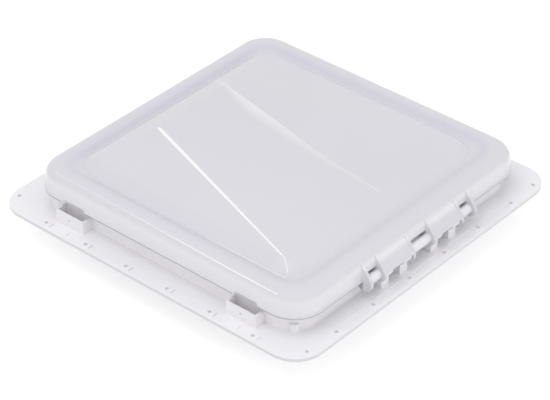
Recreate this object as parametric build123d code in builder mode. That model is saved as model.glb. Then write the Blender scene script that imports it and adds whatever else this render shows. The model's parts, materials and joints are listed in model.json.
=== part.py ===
"""Caravan roof vent with a hinged translucent lid, a crank drive and an insect screen.

Frame: origin at the centre of the flange's underside, which lies on the roof.
+Z points up out of the roof, +X towards the hinge, and the crank hangs in the cabin.
Lengths are in millimetres.
"""
from build123d import *
from math import atan2, cos, degrees, hypot, pi, radians, sin, tan
import os

os.makedirs("parts", exist_ok=True)

# Roof flange and neck
flange_side = 450.0
flange_corner = 36.0
flange_height = 4.2
flange_skin = 2.8
flange_edge = 1.0
lip_width = 15.0
neck_side = 354.6
neck_corner = 22.0
neck_depth = 44.0
moulding_wall = 2.5
upstand_side = 381.0
upstand_corner = 32.0
upstand_height = 41.0
upstand_edge = 0.8

# Screw holes in the flange
hole_bore = 4.5
hole_pitch = 61.4
holes_per_side = 6
hole_inset = 9.5
corner_hole_x = 213.5
corner_hole_y = 199.0
panel_depth = 0.5
panel_width = 9.0
panel_margin = 8.0
panel_corner = 1.0

# Side pockets and corner pegs
pocket_spread = 127.0
pocket_length = 42.0
pocket_front = 205.3
pocket_height = 15.6
pocket_wall = 2.2
pocket_edge = 0.8
pocket_bore = 2.6
pocket_bore_height = 9.0
peg_reach = 179.0
peg_radius = 6.5
peg_height = 10.0
peg_edge = 1.0

# Lid
lid_side_x = 393.2
lid_side_y = 393.2
lid_shift = 3.0
lid_corner = 36.7
lid_wall = 2.4
skirt_bottom = 26.0
rim_top = 52.9
rim_roll = 12.0
rim_flat = 9.0
rim_lip = 2.0
valley_drop = 2.9
dome_foot = 163.6
front_x = 140.0
dome_edge_width = 15.0
dome_edge_height = 10.0
dome_corner = 34.0
rim_inner_corner = 26.0
crest_rise = 5.5
crest_run = 20.0
crest_half_span = 60.0
bead_reach = 1.2
bead_height = 2.4
notch_rise = 4.0

# Hinge
rod_diameter = 11.5
hinge_x = 202.5
hinge_z = 25.5
ear_face = 92.6
gusset_thickness = 3.5
gusset_radius = 10.3
gusset_rise = 22.0
housing_outer = 69.4
housing_inner = 16.3
cover_radius = 10.2
cover_wall = 1.8
cover_cut_rise = 2.3
knuckle_wall = 2.3
knuckle_gap = 1.0
post_thickness = 8.0
running_gap = 0.05
body_gap = 0.3
ear_skin = 1.0
cheek_share = 0.28
post_offset = 2.0
web_height = 16.0
rod_edge = 0.6
rib_thickness = 1.8
rib_low = 10.0

# Seal
seal_width = 6.0
seal_edge = 2.0
seal_margin = 0.4

# Lift linkage, an isosceles triangle of hinge, arm pivot and roller
pivot_run = 90.0
pivot_drop = 20.5
track_tilt = 7.0
lid_opening = 50.0
arm_thickness = 4.0
arm_hub_radius = 9.0
arm_hub_width = 8.0
arm_tip_radius = 4.9
arm_slot_width = 5.0
arm_slot_start_share = 0.24
arm_slot_end_share = 0.84
arm_shaft_diameter = 8.0
roller_radius = 5.0
roller_width = 5.0
pin_diameter = 5.0
pin_head_radius = 3.8
pin_head_thickness = 0.9
side_play = 0.4
flat_share = 0.7
arm_washer_reach = 3.0
arm_washer_thickness = 1.0

# Slide track under the lid
track_wall = 2.0
track_play = 0.3
track_half_width = 9.2
track_slot = 7.0
track_end_margin = 8.0
tab_length = 16.0
tab_half_width = 19.0
tab_hole_spread = 15.0
tab_bore = 3.4
boss_radius = 4.0
track_pilot_depth = 6.0
boss_reach = 40.0
tab_corner = 2.0

# Gears
gear_module = 1.5
wheel_teeth = 20
wheel_thickness = 8.0
wheel_hub_radius = 7.0
worm_pitch_radius = 6.0
tooth_share = 0.38
tooth_depth = 2.1
thread_share = 0.34
worm_turns = 4.0
gear_y = 16.0
pressure_angle = 20.0

# Gear case
case_wall = 2.5
case_clearance = 1.2
case_corner = 5.0
top_skin = 0.8
collar_height = 3.5
collar_radius = 6.5
collar_offset = 2.0
plate_thickness = 3.0
plate_half_width = 30.0
plate_bottom = 8.0
plate_top = 36.0
plate_screw_spread = 22.0
plate_screw_low = 13.0
plate_screw_high = 31.0
strut_width = 14.0
strut_drop = 9.0
strut_height = 20.0
cover_boss_radius = 4.0
cover_boss_length = 12.0
cover_boss_rise = 14.0
cover_boss_angle = 35.0
bush_wall = 1.6
bush_flange = 2.6
bush_flange_thickness = 1.0

# Crank
worm_shaft_diameter = 8.0
spindle_radius = 2.5
worm_pin_radius = 1.0
handle_radius = 42.0
handle_hub_radius = 9.0
handle_hub_height = 8.0
handle_width = 11.0
handle_thickness = 4.5
handle_tip_radius = 6.5
handle_gap = 5.0
handle_arm_rise = 1.0
knob_radius = 7.5
knob_waist = 5.5
knob_height = 9.0
knob_pin_diameter = 4.0
knob_pin_head = 1.0
knob_head_radius = 4.0
knob_recess = 2.0

# Insect screen
screen_gap = 1.8
screen_drop = 17.0
frame_width = 13.0
frame_thickness = 4.0
frame_corner = 18.0
net_thickness = 0.6
net_gaps = 17
net_wire = 1.2
net_seat = 5.0
net_ledge = 1.5
port_bore_radius = 9.0
port_ring_width = 5.0
spoke_width = 10.0
lug_reach = 11.0
lug_length = 18.0
lug_height = 7.0
lug_spread = 110.0

# Screws
screw_diameter = 3.2
screw_head_diameter = 6.4
screw_head_height = 2.0
case_screw_length = 8.0
screen_screw_grip = 5.0
pilot_depth = 8.0
recess_diameter = 2.4
recess_depth = 1.0

# Overrun of the cuts
cut_over = 1.0

# Worked-out places
flange_top = flange_height
hole_line = flange_side / 2 - hole_inset
upstand_half = upstand_side / 2
neck_half = neck_side / 2
throat_half = neck_half - moulding_wall
rod_radius = rod_diameter / 2
valley_z = rim_top - valley_drop
lid_edge_x = lid_side_x / 2 + lid_shift
lid_edge_y = lid_side_y / 2
knuckle_radius = rod_radius + running_gap + knuckle_wall
notch_z = hinge_z + cover_radius - bead_reach
pivot_x = hinge_x - pivot_run
pivot_z = hinge_z - pivot_drop
arm_length = hypot(pivot_run, pivot_drop)
base_angle = degrees(atan2(pivot_drop, pivot_run)) + track_tilt
roller_far = 2 * arm_length * cos(radians(base_angle))
roller_near = 2 * arm_length * cos(radians(base_angle + lid_opening))
tilt = radians(track_tilt)
roller_x = hinge_x - roller_far * cos(tilt)
roller_z = hinge_z + roller_far * sin(tilt)
wheel_radius = gear_module * wheel_teeth / 2
worm_x = pivot_x - wheel_radius - worm_pitch_radius
tooth_pitch = pi * gear_module
wheel_tip = wheel_radius + gear_module
wheel_root = wheel_radius - 1.25 * gear_module
worm_tip = worm_pitch_radius + gear_module
worm_root = worm_pitch_radius - 1.25 * gear_module


def rounded_block(size_x, size_y, corner, low, high, centre_x=0.0, mode=Mode.ADD):
    """Upright block with rounded corners."""
    with BuildSketch(Plane.XY.offset(low)) as outline:
        with Locations((centre_x, 0)):
            RectangleRounded(size_x, size_y, corner)
    return extrude(outline.sketch, amount=high - low, mode=mode)


def rounded_ring(outer, outer_corner, inner, inner_corner, low, high, mode=Mode.ADD):
    """Upright square ring with rounded corners."""
    with BuildSketch(Plane.XY.offset(low)) as outline:
        RectangleRounded(outer, outer, outer_corner)
        RectangleRounded(inner, inner, inner_corner, mode=Mode.SUBTRACT)
    return extrude(outline.sketch, amount=high - low, mode=mode)


def box_between(low, high, mode=Mode.ADD):
    """Box from its lowest corner to its highest corner."""
    size = [b - a for a, b in zip(low, high)]
    with Locations(tuple(low)):
        return Box(*size, align=(Align.MIN, Align.MIN, Align.MIN), mode=mode)


def side_plane(y):
    """Plane seen from -Y whose sketch axes are X and Z; a positive extrude goes towards -Y."""
    return Plane.XZ.offset(-y)


def disc(plane, radius, thickness, mode=Mode.ADD, places=((0.0, 0.0),)):
    """Round discs that stand on a plane."""
    with BuildSketch(plane) as outline:
        with Locations(*places):
            Circle(radius)
    return extrude(outline.sketch, amount=thickness, mode=mode)


def screw_group(name, plane, places, length):
    """Pan-head screws with a round recess: heads stand on the plane, shanks go below it."""
    with BuildPart() as group:
        disc(plane, screw_head_diameter / 2, screw_head_height, places=places)
        disc(plane.offset(-length), screw_diameter / 2, length + cut_over / 2, places=places)
        top = plane.offset(screw_head_height)
        disc(top, recess_diameter / 2, -recess_depth, mode=Mode.SUBTRACT, places=places)
    group.part.label = name
    export_step(group.part, f"parts/{name}.step")


# Roof flange, one moulding with its upstand, neck, pockets and hinge posts
side_holes = [(n - (holes_per_side - 1) / 2) * hole_pitch for n in range(holes_per_side)]
hole_places = [(along, side * hole_line) for along in side_holes for side in (-1, 1)]
hole_places += [(side * hole_line, along) for along in side_holes for side in (-1, 1)]
hole_places += [(i * corner_hole_x, j * corner_hole_y) for i in (-1, 1) for j in (-1, 1)]
panel_length = hole_pitch - 2 * panel_margin
panel_places = [along + hole_pitch / 2 for along in side_holes[:-1]]
pocket_places = (-pocket_spread, pocket_spread)
pocket_top = flange_top + pocket_height
channel_half = upstand_half - moulding_wall
plate_screws = [(i * plate_screw_spread, z) for i in (-1, 1) for z in (plate_screw_low, plate_screw_high)]
frame_top = -screen_drop
lug_places = [(i * lug_spread, j) for i in (-1, 1) for j in (-1, 1)]
cheek_inner = housing_inner + gusset_thickness + knuckle_gap
cheek_outer = housing_outer - gusset_thickness - knuckle_gap
cheek_thickness = (cheek_outer - cheek_inner) * cheek_share
cheek_starts = [cheek_inner, cheek_outer - cheek_thickness]
cheek_starts += [-start - cheek_thickness for start in cheek_starts]

with BuildPart() as roof_flange:
    rounded_block(flange_side, flange_side, flange_corner, 0, flange_top)
    fillet(roof_flange.faces().sort_by(Axis.Z)[-1].edges(), flange_edge)
    # Corner pegs, each with a small chamfer round its top, grow out of the foot of the upstand
    peg_places = [(i * peg_reach, j * peg_reach) for i in (-1, 1) for j in (-1, 1)]
    disc(Plane.XY, peg_radius, flange_top + peg_height, places=peg_places)
    chamfer(roof_flange.edges().filter_by(GeomType.CIRCLE).group_by(Axis.Z)[-1], peg_edge)
    rounded_block(upstand_side, upstand_side, upstand_corner, 0, upstand_height)
    chamfer(roof_flange.faces().sort_by(Axis.Z)[-1].edges(), upstand_edge)
    rounded_block(neck_side, neck_side, neck_corner, -neck_depth, 0)
    # Side pockets are open at the top, with a small hole in the front wall
    pocket_depth = pocket_front - upstand_half + moulding_wall
    with BuildSketch(Plane.XY):
        with Locations(*[(x, pocket_depth / 2 - pocket_front) for x in pocket_places]):
            RectangleRounded(pocket_length, pocket_depth, pocket_edge)
    extrude(amount=pocket_top)
    for x in pocket_places:
        half = pocket_length / 2
        low = (x - half + pocket_wall, -pocket_front + pocket_wall, flange_top)
        high = (x + half - pocket_wall, -upstand_half, pocket_top + cut_over)
        box_between(low, high, mode=Mode.SUBTRACT)
    bore_places = [(x, flange_top + pocket_bore_height) for x in pocket_places]
    disc(side_plane(-pocket_front + pocket_wall + cut_over), pocket_bore / 2,
         pocket_wall + 2 * cut_over, mode=Mode.SUBTRACT, places=bore_places)
    # Hinge cheeks stand on the flange and carry the rod
    for start in cheek_starts:
        with BuildSketch(side_plane(start + cheek_thickness)):
            with Locations((hinge_x, hinge_z)):
                Circle(knuckle_radius)
            with Locations((hinge_x - post_offset, flange_top)):
                Rectangle(post_thickness, hinge_z - flange_top, align=(Align.CENTER, Align.MIN))
            with Locations((upstand_half - moulding_wall / 2, flange_top)):
                Rectangle(hinge_x - post_offset - upstand_half + moulding_wall / 2, web_height,
                          align=(Align.MIN, Align.MIN))
        extrude(amount=cheek_thickness)
    disc(side_plane(housing_outer), rod_radius + running_gap, 2 * housing_outer,
         mode=Mode.SUBTRACT, places=((hinge_x, hinge_z),))
    # Throat, the hollow under the upstand and the sunk underside of the flange
    rounded_block(2 * throat_half, 2 * throat_half, neck_corner - moulding_wall,
                  -neck_depth - cut_over, upstand_height + cut_over, mode=Mode.SUBTRACT)
    rounded_ring(2 * channel_half, upstand_corner - moulding_wall, neck_side, neck_corner,
                 -cut_over, upstand_height - moulding_wall, mode=Mode.SUBTRACT)
    rounded_ring(flange_side - 2 * lip_width, flange_corner - lip_width, 2 * channel_half - cut_over,
                 upstand_corner - moulding_wall, -cut_over, flange_top - flange_skin, mode=Mode.SUBTRACT)
    # Ribs tie the two walls of the upstand together
    for along in side_holes:
        for side in (-1, 1):
            near, far = sorted((side * (neck_half - moulding_wall / 2),
                                side * (channel_half + moulding_wall / 2)))
            low_z, high_z = rib_low, upstand_height - moulding_wall / 2
            box_between((along - rib_thickness / 2, near, low_z), (along + rib_thickness / 2, far, high_z))
            box_between((near, along - rib_thickness / 2, low_z), (far, along + rib_thickness / 2, high_z))
    # Bosses behind the neck wall take the screws of the gear case
    boss_plane = Plane.YZ.offset(throat_half + moulding_wall / 2)
    disc(boss_plane, boss_radius, channel_half - throat_half, places=plate_screws)
    disc(Plane.YZ.offset(throat_half - cut_over), screw_diameter / 2, case_screw_length + 2 * cut_over,
         mode=Mode.SUBTRACT, places=plate_screws)
    # Lugs inside the neck take the screws of the insect screen
    for x, side in lug_places:
        near, far = sorted((side * (throat_half - lug_reach), side * (throat_half + moulding_wall / 2)))
        box_between((x - lug_length / 2, near, frame_top), (x + lug_length / 2, far, frame_top + lug_height))
    lug_screws = [(x, side * (throat_half - lug_reach / 2)) for x, side in lug_places]
    disc(Plane.XY.offset(frame_top - cut_over), screw_diameter / 2, lug_height,
         mode=Mode.SUBTRACT, places=lug_screws)
    # Screw holes and the shallow sunk panels between them
    disc(Plane.XY.offset(-cut_over), hole_bore / 2, flange_top + 2 * cut_over, mode=Mode.SUBTRACT,
         places=hole_places)
    with BuildSketch(Plane.XY.offset(flange_top)):
        for along in panel_places:
            with Locations((along, hole_line), (along, -hole_line)):
                RectangleRounded(panel_length, panel_width, panel_corner)
            with Locations((hole_line, along), (-hole_line, along)):
                RectangleRounded(panel_width, panel_length, panel_corner)
    extrude(amount=-panel_depth, mode=Mode.SUBTRACT)
roof_flange.part.label = "roof_flange"
export_step(roof_flange.part, "parts/roof_flange.step")


# Lid, one translucent moulding with a rolled rim, a valley and a faceted dome
def falling_plane(x, y, z, slope_x, slope_y):
    """Plane through a point that falls by the given slopes towards +X and +Y, facing up."""
    return Plane(origin=(x, y, z), z_dir=(slope_x, slope_y, 1))


def dome_form(drop):
    """Faceted dome that rises from the valley, or its hollow when it is dropped."""
    crease_z = valley_z + dome_edge_height - drop
    crest_x = -dome_foot + dome_edge_width
    ridge_x = crest_x + crest_run
    edge_y = dome_foot - dome_edge_width
    side_slope = crest_rise / (edge_y - crest_half_span)
    facets = [
        falling_plane(front_x, 0, crease_z, crest_rise / (front_x - ridge_x), 0),
        falling_plane(crest_x, 0, crease_z, -crest_rise / crest_run, 0),
        falling_plane(0, edge_y, crease_z, 0, side_slope),
        falling_plane(0, -edge_y, crease_z, 0, -side_slope),
        falling_plane(front_x, 0, crease_z, dome_edge_height / (dome_foot - front_x), 0),
    ]
    rise = dome_edge_height + 2 * crest_rise
    spread = rise * dome_edge_width / dome_edge_height
    foot = 2 * dome_foot
    with BuildPart() as dome:
        for level, side, corner in ((0, foot, dome_corner), (rise, foot - 2 * spread, dome_corner - spread)):
            with BuildSketch(Plane.XY.offset(valley_z - drop + level)):
                RectangleRounded(side, side, corner)
        loft(ruled=True)
        for facet in facets:
            split(bisect_by=facet, keep=Keep.BOTTOM)
    return dome.part


def lid_form(inset, drop, bottom, lip):
    """Lid body without its hinge: the outer form with its rounded lip, or the hollow set in and dropped."""
    dome = dome_form(drop)
    with BuildPart() as form:
        rounded_block(lid_side_x - 2 * inset, lid_side_y - 2 * inset, lid_corner - inset, bottom,
                      rim_top - drop, centre_x=lid_shift)
        fillet(form.faces().sort_by(Axis.Z)[-1].edges(), rim_roll - inset)
        with BuildSketch(Plane.XY.offset(rim_top - drop)):
            with Locations((lid_shift, 0)):
                rim_inner = 2 * (rim_roll + rim_flat - inset)
                RectangleRounded(lid_side_x - rim_inner, lid_side_y - rim_inner, rim_inner_corner + inset)
        extrude(amount=-valley_drop, mode=Mode.SUBTRACT)
        if lip > 0:
            fillet(form.faces().sort_by(Axis.Z)[-1].inner_wires()[0].edges(), lip)
        add(dome)
    return form.part


track_plane = Plane(origin=(hinge_x, 0, hinge_z), x_dir=(-cos(tilt), 0, sin(tilt)),
                    z_dir=(sin(tilt), 0, cos(tilt)))
track_low = roller_near - roller_radius - track_end_margin
track_high = roller_far + roller_radius + track_end_margin
track_roof = roller_radius + track_play
track_top = track_roof + track_wall
tab_places = [(u, side * tab_hole_spread) for u in (track_low + tab_length / 2, track_high - tab_length / 2)
              for side in (-1, 1)]
boss_plane_lid = track_plane.offset(track_top)

lid_outside = lid_form(0, 0, skirt_bottom, rim_lip)
lid_inside = lid_form(lid_wall, lid_wall, skirt_bottom - cut_over, 0)
with BuildPart() as lid_hollow:
    add(lid_inside)
    # The screw bosses of the slide track are left out of the hollow
    disc(boss_plane_lid, boss_radius, boss_reach, mode=Mode.SUBTRACT, places=tab_places)


def gusset_outline(radius, rise, inner_x):
    """Outline from the rod's axis to the skirt, round below and straight above."""
    with Locations((hinge_x, hinge_z)):
        Circle(radius)
    with Locations((inner_x, hinge_z)):
        Rectangle(lid_wall / 2, rise, align=(Align.MIN, Align.MIN))
    make_hull()


gusset_starts = [ear_face - gusset_thickness, housing_outer - gusset_thickness, housing_inner]
gusset_starts += [-start - gusset_thickness for start in gusset_starts]
housing_width = housing_outer - housing_inner

with BuildPart() as lid:
    add(lid_outside)
    # Bead along the lower edge of the skirt
    with BuildSketch(Plane.XY.offset(skirt_bottom)):
        with Locations((lid_shift, 0)):
            RectangleRounded(lid_side_x + 2 * bead_reach, lid_side_y + 2 * bead_reach, lid_corner + bead_reach)
    extrude(amount=bead_height)
    add(lid_hollow.part, mode=Mode.SUBTRACT)
    # The skirt is cut away over the hinge and raised over each pocket
    box_between((lid_edge_x - 2 * lid_wall, -ear_face, skirt_bottom - cut_over),
                (lid_edge_x + 2 * bead_reach, ear_face, notch_z), mode=Mode.SUBTRACT)
    notch_half = pocket_length / 2 - pocket_wall
    with BuildSketch(side_plane(-lid_edge_y + 2 * lid_wall)):
        for x in pocket_places:
            with Locations((x, skirt_bottom)):
                Trapezoid(2 * notch_half, notch_rise, 45, align=(Align.CENTER, Align.MIN))
    extrude(amount=2 * lid_wall + 2 * bead_reach, mode=Mode.SUBTRACT)
    # Gussets and curved covers of the hinge
    for start in gusset_starts:
        with BuildSketch(side_plane(start + gusset_thickness)):
            gusset_outline(gusset_radius, gusset_rise, lid_edge_x - lid_wall)
        extrude(amount=gusset_thickness)
    for high_y in (housing_outer, -housing_inner):
        with BuildSketch(side_plane(high_y)):
            gusset_outline(cover_radius, gusset_rise - cover_wall, lid_edge_x - lid_wall)
            with BuildSketch(mode=Mode.PRIVATE) as inside:
                gusset_outline(cover_radius - cover_wall, gusset_rise - 2 * cover_wall,
                               lid_edge_x - 2 * lid_wall)
            add(inside.sketch, mode=Mode.SUBTRACT)
            with Locations((hinge_x, hinge_z + cover_cut_rise)):
                Rectangle(4 * cover_radius, 4 * cover_radius, align=(Align.CENTER, Align.MAX),
                          mode=Mode.SUBTRACT)
        extrude(amount=housing_width)
    # Rod bore, blind behind the skin of the ear at -Y
    disc(side_plane(ear_face + cut_over), rod_radius, 2 * ear_face + cut_over - ear_skin,
         mode=Mode.SUBTRACT, places=((hinge_x, hinge_z),))
    disc(boss_plane_lid.offset(-cut_over), screw_diameter / 2, track_pilot_depth + cut_over,
         mode=Mode.SUBTRACT, places=tab_places)
lid.part.label = "lid"
export_step(lid.part, "parts/lid.step")


# Soft seal under the lid's rim, which closes onto the top of the upstand
seal_low = upstand_height + body_gap
seal_top = rim_top - lid_wall
seal_corner = lid_corner - rim_roll - seal_margin
seal_x = lid_side_x - 2 * (rim_roll + seal_margin)
seal_y = lid_side_y - 2 * (rim_roll + seal_margin)
with BuildPart() as lid_seal:
    rounded_block(seal_x, seal_y, seal_corner, seal_low, seal_top, centre_x=lid_shift)
    rounded_block(seal_x - 2 * seal_width, seal_y - 2 * seal_width, seal_corner - seal_width, seal_low, seal_top,
                  centre_x=lid_shift, mode=Mode.SUBTRACT)
    fillet(lid_seal.faces().sort_by(Axis.Z)[0].edges(), seal_edge)
lid_seal.part.label = "lid_seal"
export_step(lid_seal.part, "parts/lid_seal.step")


# Hinge rod, held by the lid's two ears and turning in the cheeks of the flange
rod_start = -ear_face + ear_skin
with BuildPart() as hinge_rod:
    disc(side_plane(ear_face), rod_radius, ear_face - rod_start, places=((hinge_x, hinge_z),))
    chamfer(hinge_rod.edges().filter_by(GeomType.CIRCLE), rod_edge)
hinge_rod.part.label = "hinge_rod"
export_step(hinge_rod.part, "parts/hinge_rod.step")


# Slide track, a slotted rail under the lid that holds the rollers
def track_section(u):
    """Plane across the track at a distance from the hinge; sketch axes are across and up."""
    at = track_plane.from_local_coords(Vector(u, 0, 0))
    return Plane(origin=at, x_dir=(0, -1, 0), z_dir=(-cos(tilt), 0, sin(tilt)))


with BuildPart() as slide_track:
    track_length = track_high - track_low
    rail_half = track_half_width + track_wall
    with BuildSketch(track_section(track_low)):
        with Locations((0, -track_top)):
            Rectangle(2 * rail_half, 2 * track_top, align=(Align.CENTER, Align.MIN))
    extrude(amount=track_length)
    with BuildSketch(track_plane.offset(track_roof)):
        with Locations(*[(u, 0) for u in (track_low + tab_length / 2, track_high - tab_length / 2)]):
            RectangleRounded(tab_length, 2 * tab_half_width, tab_corner)
    extrude(amount=track_wall)
    with BuildSketch(track_section(track_low + track_wall)):
        Rectangle(2 * track_half_width, 2 * track_roof)
        Rectangle(track_slot, 2 * track_top, align=(Align.CENTER, Align.MAX))
    extrude(amount=track_length - 2 * track_wall, mode=Mode.SUBTRACT)
    disc(track_plane.offset(track_roof - cut_over), tab_bore / 2, track_wall + 2 * cut_over,
         mode=Mode.SUBTRACT, places=tab_places)
slide_track.part.label = "slide_track"
export_step(slide_track.part, "parts/slide_track.step")

tab_under = Plane(origin=track_plane.from_local_coords(Vector(0, 0, track_roof)), x_dir=track_plane.x_dir,
                  z_dir=-track_plane.z_dir)
screw_group("track_screws", tab_under, tab_places, track_wall + track_pilot_depth - cut_over)


# Lift arm, drawn at rest with the lid closed
pivot = (pivot_x, pivot_z)
roller = (roller_x, roller_z)
arm_reach = (roller_x - pivot_x, roller_z - pivot_z)


def along_arm(share):
    """Point on the arm's centre line in the XZ plane."""
    return (pivot_x + share * arm_reach[0], pivot_z + share * arm_reach[1])


def flatted_bar(plane, centre, radius, length, mode):
    """Round bar with one flat, or the hole that it drives."""
    with BuildSketch(plane) as section:
        with Locations(centre):
            Circle(radius)
        with Locations((centre[0], centre[1] + radius * flat_share)):
            Rectangle(2 * radius, radius, align=(Align.CENTER, Align.MIN), mode=Mode.SUBTRACT)
    return extrude(section.sketch, amount=length, mode=mode)


shaft_radius = arm_shaft_diameter / 2
with BuildPart() as lift_arm:
    with BuildSketch(side_plane(arm_thickness / 2)):
        with Locations(pivot):
            Circle(arm_hub_radius)
        with Locations(roller):
            Circle(arm_tip_radius)
        make_hull()
    extrude(amount=arm_thickness)
    with BuildSketch(side_plane(arm_thickness / 2)):
        with Locations(along_arm(arm_slot_start_share), along_arm(arm_slot_end_share)):
            Circle(arm_slot_width / 2)
        make_hull()
    extrude(amount=arm_thickness, mode=Mode.SUBTRACT)
    disc(side_plane(arm_hub_width / 2), arm_hub_radius, arm_hub_width, places=(pivot,))
    flatted_bar(side_plane(arm_hub_width / 2), pivot, shaft_radius, arm_hub_width, Mode.SUBTRACT)
    disc(side_plane(arm_thickness / 2), pin_diameter / 2, arm_thickness, mode=Mode.SUBTRACT, places=(roller,))
lift_arm.part.label = "lift_arm"
export_step(lift_arm.part, "parts/lift_arm.step")


# Roller pin and its two rollers
roller_start = arm_thickness / 2 + side_play
pin_half = roller_start + roller_width + side_play
with BuildPart() as roller_pin:
    disc(side_plane(pin_half), pin_diameter / 2, 2 * pin_half, places=(roller,))
    disc(side_plane(pin_half + pin_head_thickness), pin_head_radius, pin_head_thickness, places=(roller,))
    disc(side_plane(-pin_half), pin_head_radius, pin_head_thickness, places=(roller,))
roller_pin.part.label = "roller_pin"
export_step(roller_pin.part, "parts/roller_pin.step")

with BuildPart() as track_rollers:
    for high_y in (-roller_start, roller_start + roller_width):
        disc(side_plane(high_y), roller_radius, roller_width, places=(roller,))
        disc(side_plane(high_y), pin_diameter / 2 + running_gap, roller_width, mode=Mode.SUBTRACT,
             places=(roller,))
track_rollers.part.label = "track_rollers"
export_step(track_rollers.part, "parts/track_rollers.step")


# Gear case, a tub open towards +Y that carries the arm shaft and the worm
cavity_radius = wheel_tip + case_clearance
case_half = cavity_radius + case_wall
worm_space = worm_tip + case_clearance
case_back = gear_y - worm_space - case_wall
case_front = gear_y + worm_space
case_left = worm_x - worm_space - case_wall
case_low = pivot_z - case_half
case_high = pivot_z + case_half
bush_radius = shaft_radius + running_gap + bush_wall
worm_radius = worm_shaft_diameter / 2
worm_bush_radius = worm_radius + running_gap + bush_wall
plate_face = throat_half - plate_thickness
worm_places = ((worm_x, gear_y),)
worm_half = worm_turns * tooth_pitch / 2
collar_low = pivot_z - worm_half - collar_offset - collar_height
collar_high = pivot_z + worm_half + collar_offset + collar_height
case_floor = collar_low - body_gap - bush_flange_thickness
case_ceiling = collar_high + body_gap
boss_centre = case_half + cover_boss_radius / 2
boss_angle = radians(cover_boss_angle)
cover_places = [(case_left - cover_boss_radius / 2, pivot_z + side * cover_boss_rise) for side in (-1, 1)]
cover_places += [(pivot_x + boss_centre * cos(boss_angle), pivot_z + side * boss_centre * sin(boss_angle))
                 for side in (-1, 1)]


def case_outline():
    """Outline of the gear case: square round the worm, round about the wheel."""
    with Locations(pivot):
        Circle(case_half)
    with Locations((case_left, pivot_z)):
        RectangleRounded(pivot_x - case_left + case_corner, 2 * case_half, case_corner,
                         align=(Align.MIN, Align.CENTER))


with BuildPart() as gear_case:
    with BuildSketch(side_plane(case_front)):
        case_outline()
    extrude(amount=case_front - case_back)
    disc(side_plane(case_front), cover_boss_radius, cover_boss_length, places=cover_places)
    # Strut and plate that hold the case on the neck wall
    box_between((pivot_x, case_back, pivot_z + strut_drop - strut_height),
                (throat_half - plate_thickness / 2, case_back + strut_width, pivot_z + strut_drop))
    box_between((plate_face, -plate_half_width, plate_bottom), (throat_half, plate_half_width, plate_top))
    fillet(gear_case.edges().filter_by(Axis.X).group_by(Axis.X)[-1], case_corner)
    # Hollow for the wheel and the worm
    disc(side_plane(case_front), cavity_radius, case_front - case_back - case_wall, mode=Mode.SUBTRACT,
         places=(pivot,))
    box_between((worm_x - worm_space, case_back + case_wall, case_floor), (pivot_x, case_front, case_ceiling),
                mode=Mode.SUBTRACT)
    # Seats of the bushes, the blind seat of the spindle and the screw holes
    disc(side_plane(case_back + 2 * case_wall), bush_radius, 3 * case_wall, mode=Mode.SUBTRACT, places=(pivot,))
    disc(Plane.XY.offset(case_low - cut_over), worm_bush_radius, case_floor - case_low + 2 * cut_over,
         mode=Mode.SUBTRACT, places=worm_places)
    disc(Plane.XY.offset(case_ceiling - cut_over), spindle_radius + running_gap,
         case_high - top_skin - case_ceiling + cut_over, mode=Mode.SUBTRACT, places=worm_places)
    disc(side_plane(case_front), screw_diameter / 2, pilot_depth, mode=Mode.SUBTRACT, places=cover_places)
    disc(Plane.YZ.offset(plate_face), tab_bore / 2, plate_thickness, mode=Mode.SUBTRACT, places=plate_screws)
gear_case.part.label = "gear_case"
export_step(gear_case.part, "parts/gear_case.step")

plate_plane = Plane(origin=(plate_face, 0, 0), x_dir=(0, 1, 0), z_dir=(-1, 0, 0))
screw_group("gear_case_screws", plate_plane, [(y, -z) for y, z in plate_screws],
            plate_thickness + case_screw_length)


# Cover of the gear case
case_end = case_front + case_wall
with BuildPart() as gear_case_cover:
    with BuildSketch(side_plane(case_end)):
        case_outline()
        with Locations(*cover_places):
            Circle(cover_boss_radius)
    extrude(amount=case_wall)
    disc(side_plane(case_end), bush_radius, case_wall, mode=Mode.SUBTRACT, places=(pivot,))
    disc(side_plane(case_end), tab_bore / 2, case_wall, mode=Mode.SUBTRACT, places=cover_places)
gear_case_cover.part.label = "gear_case_cover"
export_step(gear_case_cover.part, "parts/gear_case_cover.step")

cover_plane = Plane(origin=(0, case_end, 0), x_dir=(1, 0, 0), z_dir=(0, 1, 0))
screw_group("cover_screws", cover_plane, [(x, -z) for x, z in cover_places],
            case_wall + pilot_depth - cut_over)


# Flanged bushes for the arm shaft and for the worm shaft
def bush(plane, outer, bore, length, centre):
    """Flanged bush whose flange stands on the plane and whose sleeve goes below it."""
    disc(plane, outer + bush_flange, bush_flange_thickness, places=(centre,))
    disc(plane.offset(-length), outer, length, places=(centre,))
    disc(plane.offset(-length), bore, length + bush_flange_thickness, mode=Mode.SUBTRACT, places=(centre,))


with BuildPart() as shaft_bushes:
    back_plane = Plane(origin=(0, case_back + case_wall, 0), x_dir=(1, 0, 0), z_dir=(0, 1, 0))
    bush(back_plane, bush_radius, shaft_radius + running_gap, case_wall, (pivot_x, -pivot_z))
    bush(side_plane(case_front), bush_radius, shaft_radius + running_gap, case_wall, pivot)
shaft_bushes.part.label = "shaft_bushes"
export_step(shaft_bushes.part, "parts/shaft_bushes.step")

with BuildPart() as worm_bush:
    bush(Plane.XY.offset(case_floor), worm_bush_radius, worm_radius + running_gap, case_floor - case_low,
         (worm_x, gear_y))
worm_bush.part.label = "worm_bush"
export_step(worm_bush.part, "parts/worm_bush.step")


# Worm wheel, with a tooth gap on the line towards the worm
wheel_gap = bush_flange_thickness + body_gap
wheel_back = case_back + case_wall + wheel_gap
wheel_front = case_front - wheel_gap


def tooth_half_width(share, height):
    """Half thickness of a straight-sided tooth at a height above the pitch line."""
    return share * tooth_pitch / 2 - height * tan(radians(pressure_angle))


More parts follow.
